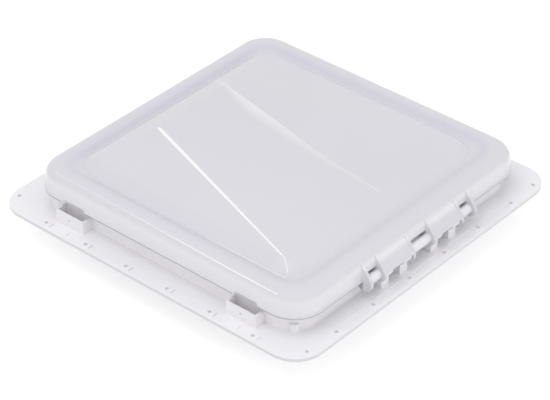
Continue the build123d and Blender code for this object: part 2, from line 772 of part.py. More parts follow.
with BuildPart() as worm_wheel:
    with BuildSketch(side_plane(gear_y + wheel_thickness / 2)):
        with Locations(pivot):
            Circle(wheel_root)
            foot_half = tooth_half_width(tooth_share, -tooth_depth)
            tip_half = tooth_half_width(tooth_share, gear_module)
            with PolarLocations(0, wheel_teeth, start_angle=180 + 180 / wheel_teeth):
                Polygon((wheel_radius - tooth_depth, foot_half), (wheel_tip, tip_half),
                        (wheel_tip, -tip_half), (wheel_radius - tooth_depth, -foot_half), align=None)
    extrude(amount=wheel_thickness)
    disc(side_plane(wheel_front), wheel_hub_radius, wheel_front - wheel_back, places=(pivot,))
    flatted_bar(side_plane(wheel_front), pivot, shaft_radius, wheel_front - wheel_back, Mode.SUBTRACT)
worm_wheel.part.label = "worm_wheel"
export_step(worm_wheel.part, "parts/worm_wheel.step")


# Arm shaft, round in the inner bush and flatted from the arm outwards and from the wheel outwards
shaft_start = -arm_hub_width / 2
round_start = arm_hub_width / 2
with BuildPart() as arm_shaft:
    flatted_bar(side_plane(round_start), pivot, shaft_radius, round_start - shaft_start, Mode.ADD)
    disc(side_plane(wheel_back), shaft_radius, wheel_back - round_start, places=(pivot,))
    flatted_bar(side_plane(case_end), pivot, shaft_radius, case_end - wheel_back, Mode.ADD)
    disc(side_plane(shaft_start + pilot_depth), screw_diameter / 2, pilot_depth, mode=Mode.SUBTRACT,
         places=(pivot,))
arm_shaft.part.label = "arm_shaft"
export_step(arm_shaft.part, "parts/arm_shaft.step")

washer_start = shaft_start - arm_washer_thickness
with BuildPart() as arm_washer:
    disc(side_plane(shaft_start), shaft_radius + arm_washer_reach, arm_washer_thickness, places=(pivot,))
    disc(side_plane(shaft_start), screw_diameter / 2, arm_washer_thickness, mode=Mode.SUBTRACT, places=(pivot,))
arm_washer.part.label = "arm_washer"
export_step(arm_washer.part, "parts/arm_washer.step")
screw_group("arm_screw", side_plane(washer_start), [pivot], arm_washer_thickness + pilot_depth - cut_over)


# Worm, a right-handed sleeve pinned to its spindle between two collars
with BuildPart() as worm:
    disc(Plane.XY.offset(collar_low), worm_root, collar_high - collar_low, places=worm_places)
    disc(Plane.XY.offset(collar_low), collar_radius, collar_height, places=worm_places)
    disc(Plane.XY.offset(collar_high - collar_height), collar_radius, collar_height, places=worm_places)
    thread_path = Helix(tooth_pitch, 2 * worm_half, worm_pitch_radius,
                        center=(worm_x, gear_y, pivot_z - worm_half), mode=Mode.PRIVATE)
    with BuildSketch(Plane(origin=thread_path @ 0, x_dir=(1, 0, 0), z_dir=thread_path % 0)) as thread:
        foot_half = tooth_half_width(thread_share, -tooth_depth)
        tip_half = tooth_half_width(thread_share, gear_module)
        Polygon((-tooth_depth, -foot_half), (gear_module, -tip_half), (gear_module, tip_half),
                (-tooth_depth, foot_half), align=None)
    sweep(thread.sketch, path=thread_path, is_frenet=True)
    disc(Plane.XY.offset(collar_low), spindle_radius, collar_high - collar_low, mode=Mode.SUBTRACT,
         places=worm_places)
    pin_places = ((worm_x, collar_high - collar_height / 2),)
    disc(side_plane(gear_y + collar_radius), worm_pin_radius, 2 * collar_radius, mode=Mode.SUBTRACT,
         places=pin_places)
worm.part.label = "worm"
export_step(worm.part, "parts/worm.step")

with BuildPart() as worm_pin:
    pin_reach = collar_radius - worm_pin_radius / 2
    disc(side_plane(gear_y + pin_reach), worm_pin_radius, 2 * pin_reach, places=pin_places)
worm_pin.part.label = "worm_pin"
export_step(worm_pin.part, "parts/worm_pin.step")


# Worm shaft, which hangs down through the screen to the crank
frame_low = frame_top - frame_thickness
handle_top = frame_low - handle_gap
handle_bottom = handle_top - handle_hub_height
with BuildPart() as worm_shaft:
    flatted_bar(Plane.XY.offset(handle_bottom), (worm_x, gear_y), worm_radius, handle_hub_height, Mode.ADD)
    disc(Plane.XY.offset(handle_top), worm_radius, collar_low - handle_top, places=worm_places)
    disc(Plane.XY.offset(collar_low), spindle_radius, case_high - top_skin - body_gap - collar_low,
         places=worm_places)
    disc(side_plane(gear_y + collar_radius), worm_pin_radius, 2 * collar_radius, mode=Mode.SUBTRACT,
         places=pin_places)
    disc(Plane.XY.offset(handle_bottom), screw_diameter / 2, pilot_depth, mode=Mode.SUBTRACT,
         places=worm_places)
worm_shaft.part.label = "worm_shaft"
export_step(worm_shaft.part, "parts/worm_shaft.step")


# Crank handle with its knob, pin and screw
knob_x = worm_x - handle_radius
knob_places = ((knob_x, gear_y),)
handle_arm_low = handle_bottom + handle_arm_rise
with BuildPart() as crank_handle:
    disc(Plane.XY.offset(handle_bottom), handle_hub_radius, handle_hub_height, places=worm_places)
    with BuildSketch(Plane.XY.offset(handle_arm_low)):
        with Locations((worm_x, gear_y)):
            Circle(handle_width / 2)
        with Locations((knob_x, gear_y)):
            Circle(handle_tip_radius)
        make_hull()
    extrude(amount=handle_thickness)
    flatted_bar(Plane.XY.offset(handle_bottom), (worm_x, gear_y), worm_radius, handle_hub_height,
                Mode.SUBTRACT)
    disc(Plane.XY.offset(handle_arm_low), knob_pin_diameter / 2, handle_thickness, mode=Mode.SUBTRACT,
         places=knob_places)
crank_handle.part.label = "crank_handle"
export_step(crank_handle.part, "parts/crank_handle.step")
screw_group("handle_screw", Plane(origin=(0, 0, handle_bottom), x_dir=(1, 0, 0), z_dir=(0, 0, -1)),
            [(worm_x, -gear_y)], pilot_depth - cut_over)

knob_top = handle_arm_low - body_gap
knob_bottom = knob_top - knob_height
with BuildPart() as crank_knob:
    with BuildSketch(Plane.XZ.offset(-gear_y)):
        with BuildLine():
            Polyline((knob_x, knob_bottom), (knob_x, knob_top), (knob_x + knob_waist, knob_top))
            ThreePointArc((knob_x + knob_waist, knob_top), (knob_x + knob_radius, knob_top - knob_height / 2),
                          (knob_x + knob_waist, knob_bottom))
            Line((knob_x + knob_waist, knob_bottom), (knob_x, knob_bottom))
        make_face()
    revolve(axis=Axis((knob_x, gear_y, 0), (0, 0, 1)))
    disc(Plane.XY.offset(knob_bottom), knob_pin_diameter / 2 + running_gap, knob_height, mode=Mode.SUBTRACT,
         places=knob_places)
    disc(Plane.XY.offset(knob_bottom), knob_head_radius + body_gap, knob_recess, mode=Mode.SUBTRACT,
         places=knob_places)
crank_knob.part.label = "crank_knob"
export_step(crank_knob.part, "parts/crank_knob.step")

with BuildPart() as knob_pin:
    pin_seat = knob_bottom + knob_recess - body_gap
    disc(Plane.XY.offset(pin_seat), knob_pin_diameter / 2, handle_arm_low + handle_thickness - pin_seat,
         places=knob_places)
    disc(Plane.XY.offset(pin_seat), knob_head_radius, -knob_pin_head, places=knob_places)
knob_pin.part.label = "knob_pin"
export_step(knob_pin.part, "parts/knob_pin.step")


# Insect screen: a frame with a port for the crank, and a net on its ledge
frame_side = 2 * (throat_half - screen_gap)
net_side = frame_side - 2 * (frame_width - net_seat)
inner_side = frame_side - 2 * frame_width
inner_corner = frame_corner - frame_width / 2
port_radius = port_bore_radius + port_ring_width
ledge_z = frame_top - net_ledge
with BuildPart() as screen_frame:
    rounded_block(frame_side, frame_side, frame_corner, frame_low, frame_top)
    rounded_block(inner_side, inner_side, inner_corner, frame_low, frame_top, mode=Mode.SUBTRACT)
    rounded_block(net_side, net_side, inner_corner, ledge_z, frame_top, mode=Mode.SUBTRACT)
    disc(Plane.XY.offset(frame_low), port_radius, ledge_z - frame_low, places=worm_places)
    box_between((worm_x, gear_y - spoke_width / 2, frame_low),
                (frame_side / 2 - frame_width / 2, gear_y + spoke_width / 2, ledge_z))
    disc(Plane.XY.offset(frame_low), port_bore_radius, frame_thickness, mode=Mode.SUBTRACT, places=worm_places)
    disc(Plane.XY.offset(frame_low), tab_bore / 2, frame_thickness, mode=Mode.SUBTRACT, places=lug_screws)
screen_frame.part.label = "screen_frame"
export_step(screen_frame.part, "parts/screen_frame.step")

net_step = (inner_side - net_wire) / net_gaps
net_centres = [(n - (net_gaps - 1) / 2) * net_step for n in range(net_gaps)]
net_places = [(x, y) for x in net_centres for y in net_centres
              if hypot(x - worm_x, y - gear_y) > port_radius + net_step / 2]
with BuildPart() as insect_net:
    rounded_block(net_side, net_side, inner_corner, ledge_z, ledge_z + net_thickness)
    with BuildSketch(Plane.XY.offset(ledge_z)):
        with Locations(*net_places):
            Rectangle(net_step - net_wire, net_step - net_wire)
        with Locations((worm_x, gear_y)):
            Circle(port_bore_radius)
    extrude(amount=net_thickness, mode=Mode.SUBTRACT)
insect_net.part.label = "insect_net"
export_step(insect_net.part, "parts/insect_net.step")

frame_plane = Plane(origin=(0, 0, frame_low), x_dir=(1, 0, 0), z_dir=(0, 0, -1))
screw_group("screen_screws", frame_plane, [(x, -y) for x, y in lug_screws],
            frame_thickness + screen_screw_grip)
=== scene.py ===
# %% [markdown]
# # A caravan roof vent
# The vent is a square moulding that is screwed to a vehicle's roof, with a translucent lid on a
# hinge. A crank in the cabin turns a worm, the worm turns a wheel, and an arm with two rollers
# pushes the lid up along a slotted track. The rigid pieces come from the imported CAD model, so this
# lesson adds what CAD leaves plain: the surface finishes, the softly rounded crown of the lid, the
# fine insect mesh, the light and the camera.

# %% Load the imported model
import json
import math
import bmesh
import bpy
import numpy as np
from mathutils import Matrix, Vector


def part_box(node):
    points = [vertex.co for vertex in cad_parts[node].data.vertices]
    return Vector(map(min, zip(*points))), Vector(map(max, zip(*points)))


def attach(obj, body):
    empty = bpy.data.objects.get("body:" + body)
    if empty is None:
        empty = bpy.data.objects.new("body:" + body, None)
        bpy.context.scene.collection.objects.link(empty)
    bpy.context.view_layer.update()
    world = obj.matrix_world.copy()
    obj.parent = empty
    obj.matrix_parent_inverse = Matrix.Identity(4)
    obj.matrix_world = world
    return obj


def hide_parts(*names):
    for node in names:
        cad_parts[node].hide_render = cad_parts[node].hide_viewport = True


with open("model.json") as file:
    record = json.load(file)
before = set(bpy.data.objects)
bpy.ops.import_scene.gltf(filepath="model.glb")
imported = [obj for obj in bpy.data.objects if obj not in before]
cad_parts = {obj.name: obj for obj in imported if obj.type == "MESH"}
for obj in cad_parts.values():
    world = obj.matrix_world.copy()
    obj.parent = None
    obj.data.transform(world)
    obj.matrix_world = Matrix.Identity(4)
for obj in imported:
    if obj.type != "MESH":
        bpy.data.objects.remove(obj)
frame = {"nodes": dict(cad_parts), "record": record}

scene = bpy.context.scene
nodes = frame["nodes"]
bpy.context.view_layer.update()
MM = 0.001

# %% [markdown]
# ## The camera
# The camera stands where the photographer stood. Its direction, distance and focal length were
# fitted to the corners of the flange and the lid, so the outline of the model falls on the outline
# in the picture. The three axes of the camera are written as one rotation matrix.

# %% Camera
AZIMUTH = math.radians(41.004)
ELEVATION = math.radians(35.419)
ROLL = math.radians(-0.083)
DISTANCE = 2683.74 * MM
SIDE_STEP = 2.232 * MM
RISE_STEP = 7.777 * MM
FOCAL_MM, SENSOR_MM = 154.43, 36.0

back = Vector((math.sin(AZIMUTH) * math.cos(ELEVATION),
               -math.cos(AZIMUTH) * math.cos(ELEVATION),
               math.sin(ELEVATION)))
level_right = Vector((math.cos(AZIMUTH), math.sin(AZIMUTH), 0.0))
level_up = back.cross(level_right)
right = level_right * math.cos(ROLL) + level_up * math.sin(ROLL)
up = level_up * math.cos(ROLL) - level_right * math.sin(ROLL)
camera_data = bpy.data.cameras.new("view_camera")
camera_data.lens = FOCAL_MM
camera_data.sensor_width = SENSOR_MM
camera_data.sensor_fit = "HORIZONTAL"
camera = bpy.data.objects.new("view_camera", camera_data)
scene.collection.objects.link(camera)
place = back * DISTANCE - right * SIDE_STEP - up * RISE_STEP
camera.matrix_world = Matrix.Translation(place) @ Matrix((right, up, back)).transposed().to_4x4()
scene.camera = camera
print("camera at", [round(v, 3) for v in place])

# %% [markdown]
# ## Building with nodes
# A material is a small network of nodes. These helpers keep it short to write: each adds one node,
# fills its inputs with values or with the results of other nodes, and gives back its own result.

# %% Node helpers
# The colour sockets of a Mix node share their names with its number sockets, so they go by index
MIX_FIRST, MIX_SECOND, MIX_RESULT = 6, 7, 2


def feed(tree, node, inputs):
    """Fills the named inputs: a socket is linked, and anything else is set as the value."""
    for key, source in inputs.items():
        if isinstance(source, bpy.types.NodeSocket):
            tree.links.new(source, node.inputs[key])
        else:
            node.inputs[key].default_value = source


def add_node(tree, kind, inputs=None, **values):
    """Adds a node, sets its properties by name and feeds its inputs."""
    node = tree.nodes.new(kind)
    for key, value in values.items():
        setattr(node, key, value)
    feed(tree, node, inputs or {})
    return node


def math_node(tree, operation, *sources):
    """One sum on numbers; returns its result."""
    inputs = dict(enumerate(sources))
    return add_node(tree, "ShaderNodeMath", inputs, operation=operation).outputs[0]


def vector_node(tree, operation, *sources):
    """One sum on vectors; returns its result."""
    inputs = dict(enumerate(sources))
    node = add_node(tree, "ShaderNodeVectorMath", inputs, operation=operation)
    return node.outputs["Value" if operation == "LENGTH" else "Vector"]


def range_node(tree, value, low, high, at_low, at_high, kind="SMOOTHSTEP"):
    """Carries a value from low..high over to at_low..at_high, and holds it at both ends."""
    inputs = {"Value": value, "From Min": low, "From Max": high,
              "To Min": at_low, "To Max": at_high}
    return add_node(tree, "ShaderNodeMapRange", inputs, interpolation_type=kind).outputs["Result"]


def mix_node(tree, factor, first, second):
    """Mixes two colours: the first where the factor is 0, and the second where it is 1."""
    inputs = {"Factor": factor, MIX_FIRST: first, MIX_SECOND: second}
    return add_node(tree, "ShaderNodeMix", inputs, data_type="RGBA").outputs[MIX_RESULT]


def object_place(tree):
    """Object coordinates: the place on the piece, in metres."""
    return add_node(tree, "ShaderNodeTexCoord").outputs["Object"]


def object_axes(tree):
    """The three parts of the place on the piece, by the name of the axis."""
    return add_node(tree, "ShaderNodeSeparateXYZ", {0: object_place(tree)}).outputs


# %% [markdown]
# ## Shared effects
# Moulded plastic is never perfectly even. A fine grain breaks up the shine, and slow cloudy tones
# show where the plastic is a little thicker or has been handled. Both are used by every finish, so
# each is a node group with its own inputs, built once. A third group marks a square ring, for the
# painted shade and highlights that follow the outline of the lid and of the flange.

# %% Node groups
def new_group(name, inputs, outputs):
    """Empty shader group with the named sockets; returns the group and its two end nodes."""
    group = bpy.data.node_groups.new(name, "ShaderNodeTree")
    for label, kind, value in inputs:
        socket = group.interface.new_socket(name=label, in_out="INPUT", socket_type=kind)
        socket.default_value = value
    for label, kind in outputs:
        group.interface.new_socket(name=label, in_out="OUTPUT", socket_type=kind)
    return group, group.nodes.new("NodeGroupInput"), group.nodes.new("NodeGroupOutput")


def build_grain():
    """Fine grain: noise on Object coordinates becomes a small bump in the normal."""
    group, start, end = new_group(
        "fine_grain",
        [("Scale", "NodeSocketFloat", 900.0), ("Depth", "NodeSocketFloat", 0.05)],
        [("Normal", "NodeSocketVector")])
    noise = add_node(group, "ShaderNodeTexNoise", {
        "Vector": object_place(group), "Scale": start.outputs["Scale"], "Detail": 3.0})
    bump = add_node(group, "ShaderNodeBump", {
        "Strength": start.outputs["Depth"], "Distance": 0.1 * MM, "Height": noise.outputs["Fac"]})
    feed(group, end, {"Normal": bump.outputs["Normal"]})
    return group


def build_cloud():
    """Cloudy tone: slow noise mixes two colours, and moves the roughness between two values."""
    group, start, end = new_group(
        "cloudy_tone",
        [("Light", "NodeSocketColor", (0.8, 0.8, 0.8, 1)),
         ("Dark", "NodeSocketColor", (0.7, 0.7, 0.7, 1)),
         ("Scale", "NodeSocketFloat", 9.0),
         ("Rough Low", "NodeSocketFloat", 0.3),
         ("Rough High", "NodeSocketFloat", 0.4)],
        [("Color", "NodeSocketColor"), ("Roughness", "NodeSocketFloat")])
    noise = add_node(group, "ShaderNodeTexNoise", {
        "Vector": object_place(group), "Scale": start.outputs["Scale"], "Detail": 4.0})
    spread = range_node(group, noise.outputs["Fac"], 0.2, 0.8, 0.0, 1.0, "LINEAR")
    rough_low, rough_high = start.outputs["Rough Low"], start.outputs["Rough High"]
    feed(group, end, {
        "Color": mix_node(group, spread, start.outputs["Dark"], start.outputs["Light"]),
        "Roughness": range_node(group, spread, 0.0, 1.0, rough_low, rough_high, "LINEAR")})
    return group


def build_ring():
    """Square ring: mask = 1 - smoothstep(|d - Half| / Width), with d the rounded-square distance.

    d = length(max(|p - centre| - Core, 0)) + Core, taken in the plane of the roof.
    """
    group, start, end = new_group(
        "square_ring",
        [("Centre", "NodeSocketFloat", 0.003), ("Core", "NodeSocketFloat", 0.16),
         ("Half", "NodeSocketFloat", 0.19), ("Width", "NodeSocketFloat", 0.004)],
        [("Mask", "NodeSocketFloat")])
    core, half, width = (start.outputs[label] for label in ("Core", "Half", "Width"))
    shift = add_node(group, "ShaderNodeCombineXYZ", {"X": start.outputs["Centre"]}).outputs[0]
    square = add_node(group, "ShaderNodeCombineXYZ", {"X": core, "Y": core}).outputs[0]
    moved = vector_node(group, "SUBTRACT", object_place(group), shift)
    flat = vector_node(group, "MULTIPLY", moved, (1, 1, 0))
    past = vector_node(group, "SUBTRACT", vector_node(group, "ABSOLUTE", flat), square)
    length = vector_node(group, "LENGTH", vector_node(group, "MAXIMUM", past, (0, 0, 0)))
    off = math_node(group, "SUBTRACT", math_node(group, "ADD", length, core), half)
    share = math_node(group, "DIVIDE", math_node(group, "ABSOLUTE", off), width)
    feed(group, end, {"Mask": range_node(group, share, 0.0, 1.0, 1.0, 0.0)})
    return group


GRAIN = build_grain()
CLOUD = build_cloud()
RING = build_ring()

# %% [markdown]
# ## Finishes
# Every finish is a Principled shader fed by the first two groups. What differs is the pair of
# tones, the spread of roughness and the depth of the grain: the flange is satin and slightly
# pebbled, the lid is glossy, the plated steel is streaky and the seal is dull foam.

# %% Finish builder and palette
def finish(name, light, dark, rough, scale, grain, metallic=0.0, coat=0.0):
    """Principled material: cloudy tone into colour and roughness, fine grain into the normal."""
    material = bpy.data.materials.new(name)
    material.use_nodes = True
    tree = material.node_tree
    cloud = add_node(tree, "ShaderNodeGroup", {
        "Light": (*light, 1), "Dark": (*dark, 1), "Scale": scale,
        "Rough Low": rough[0], "Rough High": rough[1]}, node_tree=CLOUD)
    fine = add_node(tree, "ShaderNodeGroup", {
        "Scale": grain[0], "Depth": grain[1]}, node_tree=GRAIN)
    feed(tree, tree.nodes["Principled BSDF"], {
        "Metallic": metallic, "Coat Weight": coat, "Base Color": cloud.outputs["Color"],
        "Roughness": cloud.outputs["Roughness"], "Normal": fine.outputs["Normal"]})
    return material


# Light tone, dark tone, roughness, scale of the clouds, scale and depth of the grain, metal, coat
PLATED = (80.0, (700.0, 0.15), 1.0)
LID_PLASTIC = ((0.71, 0.70, 0.75), (0.67, 0.66, 0.71), (0.20, 0.28), 3.0, (300.0, 0.03), 0.0, 0.3)
PALETTE = [
    ("white_moulding", (0.85, 0.84, 0.88), (0.82, 0.81, 0.85), (0.34, 0.42), 6.0, (1400.0, 0.12)),
    ("flange_white", (0.90, 0.89, 0.92), (0.87, 0.86, 0.89), (0.34, 0.42), 6.0, (1400.0, 0.12)),
    ("lid_translucent", *LID_PLASTIC),
    ("seal_foam", (0.10, 0.10, 0.10), (0.08, 0.08, 0.08), (0.85, 0.95), 60.0, (1500.0, 0.8)),
    ("rod_white", (0.84, 0.84, 0.88), (0.81, 0.81, 0.85), (0.34, 0.44), 40.0, (1200.0, 0.1)),
    ("track_steel", (0.62, 0.63, 0.65), (0.50, 0.51, 0.53), (0.28, 0.42), *PLATED),
    ("arm_steel", (0.60, 0.61, 0.63), (0.48, 0.49, 0.51), (0.28, 0.42), *PLATED),
    ("screw_steel", (0.58, 0.59, 0.61), (0.45, 0.46, 0.48), (0.25, 0.38), 120.0, (900.0, 0.1), 1.0),
    ("roller_plastic", (0.74, 0.73, 0.69), (0.70, 0.69, 0.65), (0.38, 0.5), 90.0, (900.0, 0.1)),
    ("bush_brass", (0.78, 0.60, 0.30), (0.62, 0.46, 0.22), (0.25, 0.4), 90.0, (700.0, 0.1), 1.0),
    ("gear_plastic", (0.76, 0.74, 0.67), (0.72, 0.70, 0.63), (0.35, 0.45), 60.0, (900.0, 0.1)),
    ("handle_plastic", (0.84, 0.83, 0.86), (0.81, 0.80, 0.83), (0.32, 0.42), 30.0, (1400.0, 0.12)),
    ("net_grey", (0.16, 0.165, 0.17), (0.12, 0.125, 0.13), (0.5, 0.65), 50.0, (1800.0, 0.1)),
]
FINISHES = {row[0]: finish(*row) for row in PALETTE}
print("finishes", len(FINISHES))

# %% [markdown]
# ## Painted shade and highlights
# Some shade and light is painted into the base colour by place on the moulding. The lid has painted
# shade in its valley and a painted highlight along its rim, and a thin line of painted shadow runs
# under the rim. On the flange, thin lines of painted shade mark the ends of its raised panels and
# its outer edge. Each one is a mask made from the place on the piece, which mixes a tint into the
# base colour.

# %% Masks for painted shade and highlights
HOLE_PITCH, HOLE_MARGIN, LAST_HOLE = 61.4, 8.0, 166.0
PANEL_MIDDLE, PANEL_REACH, PANEL_LINE = 6.65, 126.35, 0.6
STRIP_LOW, STRIP_HIGH = 211.8, 219.0
LIP_X, EAR_RISE, LIP_SHINE = 200.9, 2.25, 0.1


def build_panel_edges():
    """Painted shade at the ends of the flange's raised panels, as thin lines across its front and
    back strips.

    d1 = |(x mod pitch) - half pitch - margin| marks one line beside each screw hole, and
    d2 = ||x - middle| - reach| marks the two panel ends beside the pockets.
    mask = (min(d1, d2) < half a line) * (low < |y| < high) * (|x| < the last hole).
    """
    group, start, end = new_group(
        "panel_edges",
        [("Pitch", "NodeSocketFloat", HOLE_PITCH * MM),
         ("Margin", "NodeSocketFloat", HOLE_MARGIN * MM)],
        [("Mask", "NodeSocketFloat")])
    pitch, margin = start.outputs["Pitch"], start.outputs["Margin"]

    def of(operation, *sources):
        return math_node(group, operation, *sources)

    axes = object_axes(group)
    x, outward = axes["X"], of("ABSOLUTE", axes["Y"])
    past_hole = of("SUBTRACT", of("FLOORED_MODULO", x, pitch), of("MULTIPLY", pitch, 0.5))
    beside_hole = of("ABSOLUTE", of("SUBTRACT", past_hole, margin))
    from_middle = of("ABSOLUTE", of("SUBTRACT", x, PANEL_MIDDLE * MM))
    beside_pocket = of("ABSOLUTE", of("SUBTRACT", from_middle, PANEL_REACH * MM))
    line = of("LESS_THAN", of("MINIMUM", beside_hole, beside_pocket), PANEL_LINE * MM)
    on_strip = of("MULTIPLY", of("GREATER_THAN", outward, STRIP_LOW * MM),
                  of("LESS_THAN", outward, STRIP_HIGH * MM))
    inside = of("LESS_THAN", of("ABSOLUTE", x), LAST_HOLE * MM)
    feed(group, end, {"Mask": of("MULTIPLY", of("MULTIPLY", line, on_strip), inside)})
    return group


def tint_base(material, factor, tint):
    """Mixes a tint into the base colour by a factor."""
    tree = material.node_tree
    base = tree.nodes["Principled BSDF"].inputs["Base Color"]
    tree.links.new(mix_node(tree, factor, base.links[0].from_socket, (*tint, 1)), base)


def paint_panel_edge_shade(material, tint, share):
    """Painted shade at the ends of the raised panels: factor = mask * share."""
    tree = material.node_tree
    edges = add_node(tree, "ShaderNodeGroup", node_tree=build_panel_edges())
    tint_base(material, math_node(tree, "MULTIPLY", edges.outputs["Mask"], share), tint)


def paint_ring_light(material, tint, centre, core, half, width, share):
    """Painted shade or highlight along one square ring, as the tint is darker or lighter; given in
    mm: factor = mask * share.
    """
    tree = material.node_tree
    ring = add_node(tree, "ShaderNodeGroup", {
        "Centre": centre * MM, "Core": core * MM, "Half": half * MM, "Width": width * MM},
        node_tree=RING)
    tint_base(material, math_node(tree, "MULTIPLY", ring.outputs["Mask"], share), tint)


def paint_shadow_low_edge(material, tint, low, high, share):
    """Painted shadow towards the plastic's lower edge: mask = 1 - smoothstep(height from low to
    high).

    height = max(z, low + rise (x - lip)), so that the ears beyond the hinge-side wall stay as they
    are. The colour mixes towards the tint by mask * share, and the coat and the shine fade with it.
    """
    tree = material.node_tree
    axes = object_axes(tree)
    beyond = math_node(tree, "MULTIPLY_ADD", axes["X"], EAR_RISE, (low - EAR_RISE * LIP_X) * MM)
    height = math_node(tree, "MAXIMUM", axes["Z"], beyond)
    tint_base(material, range_node(tree, height, low * MM, high * MM, share, 0.0), tint)
    shader = tree.nodes["Principled BSDF"]
    for label, at_low in (("Coat Weight", 0.0), ("Specular IOR Level", LIP_SHINE)):
        before = shader.inputs[label].default_value
        level = range_node(tree, height, low * MM, high * MM, at_low, before)
        feed(tree, shader, {label: level})


# Painted shade in the lid's valley
paint_ring_light(FINISHES["lid_translucent"], (0.63, 0.62, 0.71),
          centre=2.0, core=146.0, half=172.0, width=11.0, share=0.75)
# Painted highlight along the lid's rolled rim
paint_ring_light(FINISHES["lid_translucent"], (0.90, 0.90, 0.93),
          centre=3.0, core=160.0, half=197.5, width=5.0, share=0.6)
# Painted shadow in a thin line under the lid's rim
paint_shadow_low_edge(FINISHES["lid_translucent"], (0.42, 0.42, 0.45), low=26.6, high=28.4, share=0.8)
# Painted shade at the ends of the flange's raised panels
paint_panel_edge_shade(FINISHES["flange_white"], (0.55, 0.55, 0.58), share=0.6)
# Painted shade along the flange's outer edge
paint_ring_light(FINISHES["flange_white"], (0.58, 0.58, 0.61),
          centre=0.0, core=189.0, half=225.2, width=1.1, share=0.5)
slots = {row["node"]: row["material_slot"] for row in frame["record"]["subparts"]}
for node_name, node_object in nodes.items():
    look = "flange_white" if node_name == "roof_flange" else slots[node_name]
    node_object.data.materials.clear()
    node_object.data.materials.append(FINISHES[look])

# %% [markdown]
# ## The lid's surface as a formula
# The lid's crown is cut from flat facets, so its height at any place is the smallest of a few
# sloping planes. Writing it as one numpy function gives every piece on the lid a surface to sit on,
# without touching the CAD mesh. From here on, lengths are in millimetres until a mesh is made.

# %% Height of the lid
VALLEY_Z, RIM_Z, CREASE_Z = 50.0, 52.9, 60.0
CORNER_CENTRE, CORNER_RADIUS = 129.6, 34.0
EDGE_AT, FRONT_AT, FOOT_AT = 148.6, 140.0, 163.6
FRONT_SLOPE, CREST_SLOPE, SIDE_SLOPE, EDGE_SLOPE = 0.02048, 0.275, 0.0621, 2.0 / 3.0
FOOT_SLOPE = (CREASE_Z - VALLEY_Z) / (FOOT_AT - FRONT_AT)


def past_square(x, y, half):
    """Distance outside a square: length of max(|x| - half, 0) and max(|y| - half, 0)."""
    return np.hypot(np.maximum(np.abs(x) - half, 0), np.maximum(np.abs(y) - half, 0))


def crown_height(x, y):
    """Height of the crown in mm: the smallest of the front, crest, side, foot and edge planes.

    front = crease + 0.02048 (140 - x); crest = crease + 0.275 (x + 148.6);
    sides = crease + 0.0621 (148.6 - |y|); foot = crease - 0.424 (x - 140);
    edge = valley + (34 - r) 2/3, with r the distance outside the square of half side 129.6.
    Where all of them lie below the valley, the valley floor is the surface.
    """
    front = CREASE_Z + FRONT_SLOPE * (FRONT_AT - x)
    crest = CREASE_Z + CREST_SLOPE * (x + EDGE_AT)
    sides = CREASE_Z + SIDE_SLOPE * (EDGE_AT - np.abs(y))
    foot = CREASE_Z - FOOT_SLOPE * (x - FRONT_AT)
    edge = VALLEY_Z + EDGE_SLOPE * (CORNER_RADIUS - past_square(x, y, CORNER_CENTRE))
    return np.maximum(np.minimum.reduce([front, crest, sides, foot, edge]), VALLEY_Z)


print("crown height at the middle",
      round(float(crown_height(np.array(0.0), np.array(0.0))), 2), "mm")

# %% [markdown]
# ## Thin sheets on the lid
# What the scene adds to the lid is made of thin closed sheets: a grid of points for the top, the
# same grid a little lower for the underside, and narrow walls that join them. A strip follows a
# path over the lid, with a rounded back and a width that may taper. A ring runs all the way round.

# %% Strips and rings
SHARP_ANGLE = math.radians(40)
EASE_PASSES = 6
FADE_POWER = 0.4
TUCK, STRIP_SINK = 0.02, 0.3


def link_piece(name, mesh):
    """New object in the scene for a mesh."""
    piece = bpy.data.objects.new(name, mesh)
    scene.collection.objects.link(piece)
    return piece


def solid_piece(name, upper, lower, quads):
    """Closed sheet: faces turned outwards, smooth shading, sharp edges kept at the narrow walls."""
    verts = np.concatenate([upper.reshape(-1, 3), lower.reshape(-1, 3)]) * MM
    mesh = bpy.data.meshes.new(name)
    mesh.from_pydata(verts.tolist(), [], np.concatenate(quads).tolist())
    work = bmesh.new()
    work.from_mesh(mesh)
    bmesh.ops.recalc_face_normals(work, faces=work.faces)
    work.to_mesh(mesh)
    work.free()
    mesh.polygons.foreach_set("use_smooth", np.ones(len(mesh.polygons), bool))
    mesh.set_sharp_from_angle(angle=SHARP_ANGLE)
    return link_piece(name, mesh)


def closed_sheet(name, upper, lower):
    """Two grids of the same shape, joined along their four edges, with the grid as its UV map."""
    rows, cols = upper.shape[:2]
    index = np.arange(rows * cols).reshape(rows, cols)
    low = index + rows * cols
    top = [index[:-1, :-1], index[1:, :-1], index[1:, 1:], index[:-1, 1:]]
    bottom = [low[:-1, :-1], low[:-1, 1:], low[1:, 1:], low[1:, :-1]]
    quads = [np.stack(top, -1).reshape(-1, 4), np.stack(bottom, -1).reshape(-1, 4)]
    for a, b in ((index[:, 0], low[:, 0]), (index[:, -1][::-1], low[:, -1][::-1]),
                 (index[0][::-1], low[0][::-1]), (index[-1], low[-1])):
        quads.append(np.stack([a[:-1], b[:-1], b[1:], a[1:]], -1))
    piece = solid_piece(name, upper, lower, quads)
    u, v = np.meshgrid(np.linspace(0, 1, rows), np.linspace(0, 1, cols), indexing="ij")
    grid = np.stack([u, v], -1).reshape(-1, 2)
    corner = np.empty(len(piece.data.loops), np.int32)
    piece.data.loops.foreach_get("vertex_index", corner)
    chart = np.concatenate([grid, grid])[corner].astype(np.float32)
    piece.data.uv_layers.new(name="UVMap").data.foreach_set("uv", chart.ravel())
    return piece


